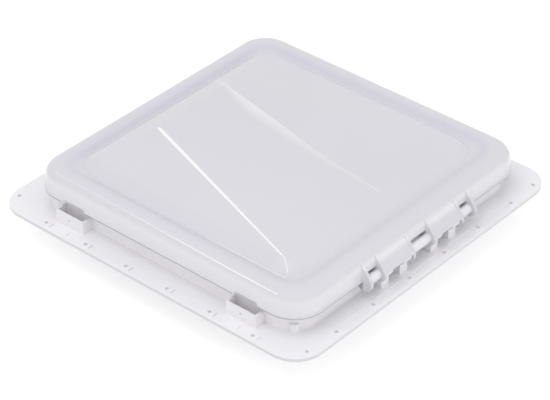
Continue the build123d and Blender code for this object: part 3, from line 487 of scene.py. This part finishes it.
def ring_sheet(name, upper, lower):
    """Two grids whose first index runs all the way round, joined along both of their edges."""
    rows, cols = upper.shape[:2]
    index = np.arange(rows * cols).reshape(rows, cols)
    following = np.roll(index, -1, axis=0)
    low, low_following = index + rows * cols, following + rows * cols
    top = [index[:, :-1], index[:, 1:], following[:, 1:], following[:, :-1]]
    bottom = [low[:, :-1], low_following[:, :-1], low_following[:, 1:], low[:, 1:]]
    quads = [
        np.stack(top, -1).reshape(-1, 4),
        np.stack(bottom, -1).reshape(-1, 4),
        np.stack([index[:, 0], following[:, 0], low_following[:, 0], low[:, 0]], -1),
        np.stack([index[:, -1], low[:, -1], low_following[:, -1], following[:, -1]], -1)]
    return solid_piece(name, upper, lower, quads)


def smooth_path(points, count):
    """Even points on a polyline, and the share of its length at each.

    Each pass of a short average, (a + 2 b + c) / 4, eases the corners a little more.
    """
    points = np.array(points, float)
    along = np.concatenate([[0], np.cumsum(np.hypot(*np.diff(points, axis=0).T))])
    where = np.linspace(0, along[-1], count)
    path = np.stack([np.interp(where, along, points[:, axis]) for axis in (0, 1)], 1)
    for _ in range(EASE_PASSES):
        path[1:-1] = (path[:-2] + 2 * path[1:-1] + path[2:]) / 4
    return path, where / along[-1]


def round_back(v):
    """Back of a bead: cos(v * quarter turn) squared, which is 0 at both edges and 1 between."""
    return np.cos(v * math.pi / 2) ** 2


def strip(name, points, widths, rise, back=round_back, level=crown_height, lean=0.0,
          count=90, across=15):
    """Raised strip on the lid, u along it from 0 to 1 and v across it from -1 to 1.

    place = path(u) + side(u) * (v - lean) * width(u) / 2
    height = level(place) + rise * back(v) * sin(pi u)^0.4, so that both ends run out.
    """
    path, u = smooth_path(points, count)
    along = np.gradient(path, axis=0)
    along /= np.linalg.norm(along, axis=1)[:, None]
    side = np.stack([-along[:, 1], along[:, 0]], 1)
    v = np.linspace(-1, 1, across)
    width = np.interp(u, np.linspace(0, 1, len(widths)), widths)
    offset = (v[None, :, None] - lean) * width[:, None, None] / 2
    place = path[:, None, :] + side[:, None, :] * offset
    fade = np.clip(np.sin(u * math.pi), 0, 1) ** FADE_POWER
    ground = level(place[..., 0], place[..., 1])
    top = ground + rise * back(v)[None, :] * fade[:, None] - TUCK
    return closed_sheet(name, np.dstack([place, top]), np.dstack([place, ground - STRIP_SINK]))


def dress(piece, body, slot):
    """Gives a new piece its finish and its body."""
    piece.data.materials.append(FINISHES[slot])
    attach(piece, body)
    return piece


# %% [markdown]
# ## A soft valley
# Between the crown's foot and the rim, the real moulding rises in one soft curve, where the CAD has
# a flat valley and a step. A thin ring covers the step: its outline is a rounded square that grows
# from the foot's line to the rim's line, and its height follows a smooth step between the two.

# %% Blend over the rim's step
RIM_INNER, RIM_INNER_CORNER, LID_SHIFT = 175.6, 26.0, 3.0
# The ring starts inside the crown's slope and ends on the rim, in shares of the way between
RING_START, RING_PAST, RING_ROWS, RIM_ROWS = -0.04, 0.3, 20, 6
RING_LIFT, RIM_LIFT, RIM_DIP, RING_SINK = 0.03, 0.02, 0.07, 0.3


def rounded_square(half, corner, centre_x, count=40, straight=20):
    """Outline of a rounded square: four quarter turns, with points on the straight runs between.

    turn: point = corner centre + corner * (cos a, sin a), with a from 0 to 90 degrees. One turn and
    one run are made, and quarter-turn matrices carry them round.
    """
    angle = np.linspace(0, math.pi / 2, count)
    reach = half - corner
    turn = np.stack([reach + corner * np.cos(angle), reach + corner * np.sin(angle)], 1)
    share = np.linspace(0, 1, straight + 2)[1:-1, None]
    run = turn[-1] * (1 - share) + np.array([-reach, half]) * share
    side = np.concatenate([turn, run])
    quarter = np.array([[0.0, 1.0], [-1.0, 0.0]])
    sides = [side @ np.linalg.matrix_power(quarter, k) for k in range(4)]
    return np.concatenate(sides) + np.array([centre_x, 0.0])


def smooth_step(t):
    """s = 3 t^2 - 2 t^3 with t held between 0 and 1."""
    t = np.clip(t, 0, 1)
    return 3 * t ** 2 - 2 * t ** 3


foot_line = rounded_square(FOOT_AT, CORNER_RADIUS, 0.0)[:, None, :]
rim_line = rounded_square(RIM_INNER, RIM_INNER_CORNER, LID_SHIFT)[:, None, :]
share = np.concatenate([np.linspace(RING_START, 1.0, RING_ROWS),
                        np.linspace(1.0 - RING_START, 1.0 + RING_PAST, RIM_ROWS)])
ring_place = foot_line * (1 - share[None, :, None]) + rim_line * share[None, :, None]
swell = (VALLEY_Z + RING_LIFT + (RIM_Z - VALLEY_Z + RIM_LIFT) * smooth_step(share)
         - RIM_DIP * smooth_step((share - 1) / RING_PAST))
ring_top = np.broadcast_to(swell, ring_place.shape[:2])
ring_low = np.full(ring_place.shape[:2], VALLEY_Z - RING_SINK)
valley_blend = ring_sheet(
    "valley_blend", np.dstack([ring_place, ring_top]), np.dstack([ring_place, ring_low]))
dress(valley_blend, "lid", "lid_translucent")
print("valley blend", len(valley_blend.data.polygons), "faces")

# %% [markdown]
# ## Beads with painted highlights
# Light runs along the moulding's creases as thin bright lines. Each one is a bead with a painted
# highlight, a near-white glossy finish: along the edge between two facets, round the crown's corner,
# along the rolled rim and at the crown's foot. The crown ridge is a wide one with a lopsided back, a
# long gentle rise on one side and a short fall on the other, and a painted highlight lightens its
# finish towards its sharp side.

# %% Beads on the lid
LID_EDGE_Y, RIM_ROLL = 196.6, 12.0
BEAD_LIFT = 0.05
RIDGE_PEAK, RIDGE_POWER, RIDGE_HIGHLIGHT_SHARE = 0.86, 1.6, 0.42


def blend_level(x, y):
    """The valley blend's height: a smooth step of past / (past + left).

    past is the distance outside the crown's foot, and left the distance still inside the rim.
    """
    past = past_square(x, y, CORNER_CENTRE) - CORNER_RADIUS
    left = RIM_INNER_CORNER - past_square(x - LID_SHIFT, y, RIM_INNER - RIM_INNER_CORNER)
    rise = RIM_Z - VALLEY_Z + RIM_LIFT
    return VALLEY_Z + BEAD_LIFT + rise * smooth_step(past / (past + left))


def roll_level(x, y):
    """The rim's rolled edge, t being the depth behind it: z = rim - r + sqrt(r^2 - (r - t)^2)."""
    depth = np.clip(LID_EDGE_Y - np.abs(y), 0, RIM_ROLL)
    return RIM_Z - RIM_ROLL + np.sqrt(RIM_ROLL ** 2 - (RIM_ROLL - depth) ** 2)


def ridge_back(v):
    """Lopsided back: (1/2 - cos(pi t) / 2)^1.6 up to the peak at v = 0.86, and a straight fall."""
    rising = 0.5 - 0.5 * np.cos(math.pi * np.clip((v + 1) / (1 + RIDGE_PEAK), 0, 1))
    falling = np.clip((1 - v) / (1 - RIDGE_PEAK), 0, 1)
    return np.minimum(rising ** RIDGE_POWER, falling)


def ridge_highlight_finish():
    """Lid plastic with a painted highlight towards the ridge: mask = across(v) * rise(u) * fall(u).
    """
    material = finish("ridge_painted_highlight", *LID_PLASTIC)
    tree = material.node_tree
    chart = add_node(tree, "ShaderNodeUVMap", uv_map="UVMap")
    parts = add_node(tree, "ShaderNodeSeparateXYZ", {0: chart.outputs["UV"]}).outputs
    across = range_node(tree, parts["Y"], 0.15, 0.95, 0.0, 1.0)
    rise = range_node(tree, parts["X"], 0.0, 0.30, 0.35, 1.0)
    fall = range_node(tree, parts["X"], 0.30, 0.75, 1.0, 0.45)
    mask = math_node(tree, "MULTIPLY", math_node(tree, "MULTIPLY", across, rise), fall)
    # Painted highlight: the ridge's plastic lightens towards its sharp side
    tint_base(material, math_node(tree, "MULTIPLY", mask, RIDGE_HIGHLIGHT_SHARE), (0.97, 0.97, 0.98))
    return material


RIDGE_HIGHLIGHT = ridge_highlight_finish()
# Near-white glossy finish for the beads: a painted highlight along the creases, the rim and the
# crown's foot
CREASE_HIGHLIGHT = finish("crease_painted_highlight", (0.97, 0.97, 0.98), (0.93, 0.93, 0.95), (0.12, 0.18),
                30.0, (300.0, 0.02), coat=0.5)
RIDGE_LINE = [
    (-164, 69), (-155, 67.5), (-144.5, 63.1), (-126.7, 57.5), (-112.6, 53.8), (-96.7, 49.8),
    (-80, 46.7), (-61.3, 42.9), (-33.5, 37.9), (-9, 33), (12.7, 28.5), (44.2, 22.6), (71.9, 19),
    (98.6, 16.2), (122.5, 14.8), (141.7, 12.1)]
beads = [
    strip("crease_bead", [(-126, -60), (135, -146.5)], (5.5, 2.6), 0.35),
    strip("crease_hook", [(134, -146), (140, -148.6), (147, -153), (156, -161)], (1.1, 0.7), 0.16),
    strip("rim_bead", [(-168, -187.5), (-60, -188.5), (38, -190.2), (98, -191.2), (166, -191.4)],
          (0.3, 0.35, 0.6, 1.0, 1.1), 0.08, level=roll_level),
    strip("foot_bead", [(40, -165.0), (154, -164.6)], (0.7, 0.8), 0.16, level=blend_level),
    strip("crown_ridge", RIDGE_LINE, (7, 14, 26, 22, 15, 10, 7), 0.5, back=ridge_back,
          lean=RIDGE_PEAK, count=140, across=41),
]
for bead in beads:
    dress(bead, "lid", "lid_translucent")
    bead.data.materials[0] = RIDGE_HIGHLIGHT if bead.name == "crown_ridge" else CREASE_HIGHLIGHT
print("beads", [bead.name for bead in beads])

# %% [markdown]
# ## The insect mesh
# The screen's mesh is a plain weave of thin wires, four millimetres apart, which CAD only hints at
# with an open grid. Each wire is a four-sided tube that waves over and under the wires it crosses:
# its height is plus or minus the wire's radius, and the sign flips from one crossing to the next.

# %% Woven net
net_low, net_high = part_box("insect_net")
NET_HALF = (net_high.x - net_low.x) / 2 / MM
NET_MID_Z = (net_high.z + net_low.z) / 2 / MM
NET_CORNER, NET_MARGIN, END_GAP = 11.5, 0.5, 0.1
PITCH, WIRE_RADIUS, WAVE_SHARE = 4.0, 0.15, 0.92
PORT_X, PORT_Y, PORT_RADIUS = 91.5, 16.0, 9.6


def tube_corners(path, radius):
    """Four-sided tube along a path: corners = path +- across * radius and +- up * radius."""
    along = np.gradient(path, axis=0)
    along /= np.linalg.norm(along, axis=1)[:, None]
    across = np.cross(np.array([0.0, 0.0, 1.0]), along)
    across /= np.linalg.norm(across, axis=1)[:, None]
    above = np.cross(along, across)
    corners = [path + across * radius, path + above * radius,
               path - across * radius, path - above * radius]
    return np.stack(corners, 1)


def tube_faces(length, start):
    """Quads round a tube whose points begin at number start, and one quad at each end."""
    index = (start + np.arange(length * 4)).reshape(length, 4)
    turn = np.roll(index, -1, axis=1)
    sides = np.stack([index[:-1], turn[:-1], turn[1:], index[1:]], -1).reshape(-1, 4)
    return np.concatenate([sides, index[:1, ::-1], index[-1:]])


def wire_span(offset):
    """How far a wire at this offset reaches before the rounded corner of the net cuts it."""
    core = NET_HALF - NET_CORNER
    past = max(abs(offset) - core, 0)
    return core + math.sqrt(max(NET_CORNER ** 2 - past ** 2, 0)) - END_GAP


def wire_pieces(offset, port_along, port_across):
    """The one or two runs of a wire: from edge to edge, or to the round port and on from it."""
    reach = wire_span(offset)
    gap = PORT_RADIUS ** 2 - (offset - port_across) ** 2
    if gap <= 0:
        return [(-reach, reach)]
    half = math.sqrt(gap)
    return [(-reach, port_along - half), (port_along + half, reach)]


def wire_run(offset, number, low, high, turned):
    """One wire with a point at each crossing and at both of its ends.

    height = +- 0.92 radius * sin(pi * place / pitch); even and odd wires have opposite signs.
    """
    first, last = math.ceil(low / PITCH - 0.5), math.floor(high / PITCH - 0.5)
    marks = np.concatenate([[low], (np.arange(first, last + 1) + 0.5) * PITCH, [high]])
    sign = 1 if number % 2 else -1
    wave = WIRE_RADIUS * WAVE_SHARE * np.sin(math.pi * marks / PITCH) * sign
    fixed = np.full_like(marks, offset)
    if turned:
        return np.stack([fixed, marks, NET_MID_Z - wave], 1)
    return np.stack([marks, fixed, NET_MID_Z + wave], 1)


def woven_net(name, offsets):
    """All wires both ways in one mesh, each with closed ends."""
    blocks, faces, total = [], [], 0
    for turned in (False, True):
        along, across = (PORT_Y, PORT_X) if turned else (PORT_X, PORT_Y)
        for number, offset in enumerate(offsets):
            for low, high in wire_pieces(offset, along, across):
                path = wire_run(offset, number, low, high, turned)
                faces.append(tube_faces(len(path), total))
                blocks.append(tube_corners(path, WIRE_RADIUS).reshape(-1, 3))
                total += len(path) * 4
    mesh = bpy.data.meshes.new(name)
    verts = np.concatenate(blocks) * MM
    mesh.from_pydata(verts.tolist(), [], np.concatenate(faces).tolist())
    mesh.polygons.foreach_set("use_smooth", np.ones(len(mesh.polygons), bool))
    return link_piece(name, mesh)


half_count = int((NET_HALF - NET_MARGIN) // PITCH)
offsets = (np.arange(2 * half_count) - half_count + 0.5) * PITCH
net = dress(woven_net("woven_net", offsets), "base", "net_grey")
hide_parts("insect_net")
print("net wires", len(offsets) * 2, "quads", len(net.data.polygons))

# %% [markdown]
# ## The floor
# The picture has a pure white surround. The floor is a pale sheet that glows a little for the
# camera only, so it reads as white while the soft shadow of the vent stays on it.

# %% Floor
FLOOR_Z = -44.0 * MM
FLOOR_REACH = 6.0
FLOOR_GLOW = 0.46


def seen_directly(tree):
    """1 for camera, glossy and transmission rays, and 0 for the rays that only carry light."""
    path = add_node(tree, "ShaderNodeLightPath").outputs
    seen = math_node(tree, "MAXIMUM", path["Is Camera Ray"], path["Is Glossy Ray"])
    return math_node(tree, "MAXIMUM", seen, path["Is Transmission Ray"])


def floor_material():
    """Pale floor: diffuse paint plus a glow that only camera, glossy and glass rays see."""
    material = bpy.data.materials.new("pale_floor")
    material.use_nodes = True
    tree = material.node_tree
    feed(tree, tree.nodes["Principled BSDF"], {
        "Base Color": (0.82, 0.82, 0.82, 1), "Roughness": 0.9, "Emission Color": (1, 1, 1, 1),
        "Emission Strength": math_node(tree, "MULTIPLY", seen_directly(tree), FLOOR_GLOW)})
    return material


corners = [(-FLOOR_REACH, -FLOOR_REACH, FLOOR_Z), (FLOOR_REACH, -FLOOR_REACH, FLOOR_Z),
           (FLOOR_REACH, FLOOR_REACH, FLOOR_Z), (-FLOOR_REACH, FLOOR_REACH, FLOOR_Z)]
floor_mesh = bpy.data.meshes.new("floor")
floor_mesh.from_pydata(corners, [], [(0, 1, 2, 3)])
floor_mesh.materials.append(floor_material())
floor = link_piece("floor", floor_mesh)

# %% [markdown]
# ## World and lamps
# A product picture like this one is lit from all sides. The world gives an even light, a little
# weaker than the white that the camera sees behind the vent. Three large soft lamps add a gentle
# direction: one above, a faint one near the camera's left, and one that reaches under the lid on
# the side of the hinge.

# %% World and lamps
WORLD_LIGHT, WORLD_SEEN = 0.76, 1.0

world = bpy.data.worlds.new("studio")
scene.world = world
world.use_nodes = True
sky_tree = world.node_tree
feed(sky_tree, sky_tree.nodes["Background"], {
    "Color": (1, 1, 1, 1),
    "Strength": range_node(sky_tree, seen_directly(sky_tree), 0.0, 1.0, WORLD_LIGHT, WORLD_SEEN,
                           "LINEAR")})


def area_lamp(name, place, size, power):
    """Soft lamp turned towards the origin, in metres and watts, that shows in no reflection."""
    data = bpy.data.lights.new(name, "AREA")
    data.shape = "RECTANGLE"
    data.size, data.size_y = size
    data.energy = power
    lamp = bpy.data.objects.new(name, data)
    lamp.location = place
    lamp.visible_glossy = False
    lamp.rotation_euler = (-Vector(place)).to_track_quat("-Z", "Y").to_euler()
    scene.collection.objects.link(lamp)


area_lamp("top_softbox", (0.0, -0.9, 2.6), (2.2, 2.2), 18)
area_lamp("near_softbox", (-0.6, -2.4, 1.0), (1.6, 1.4), 3)
area_lamp("hinge_softbox", (2.4, 0.2, 0.8), (2.0, 1.2), 8)

scene.view_settings.view_transform = "Standard"
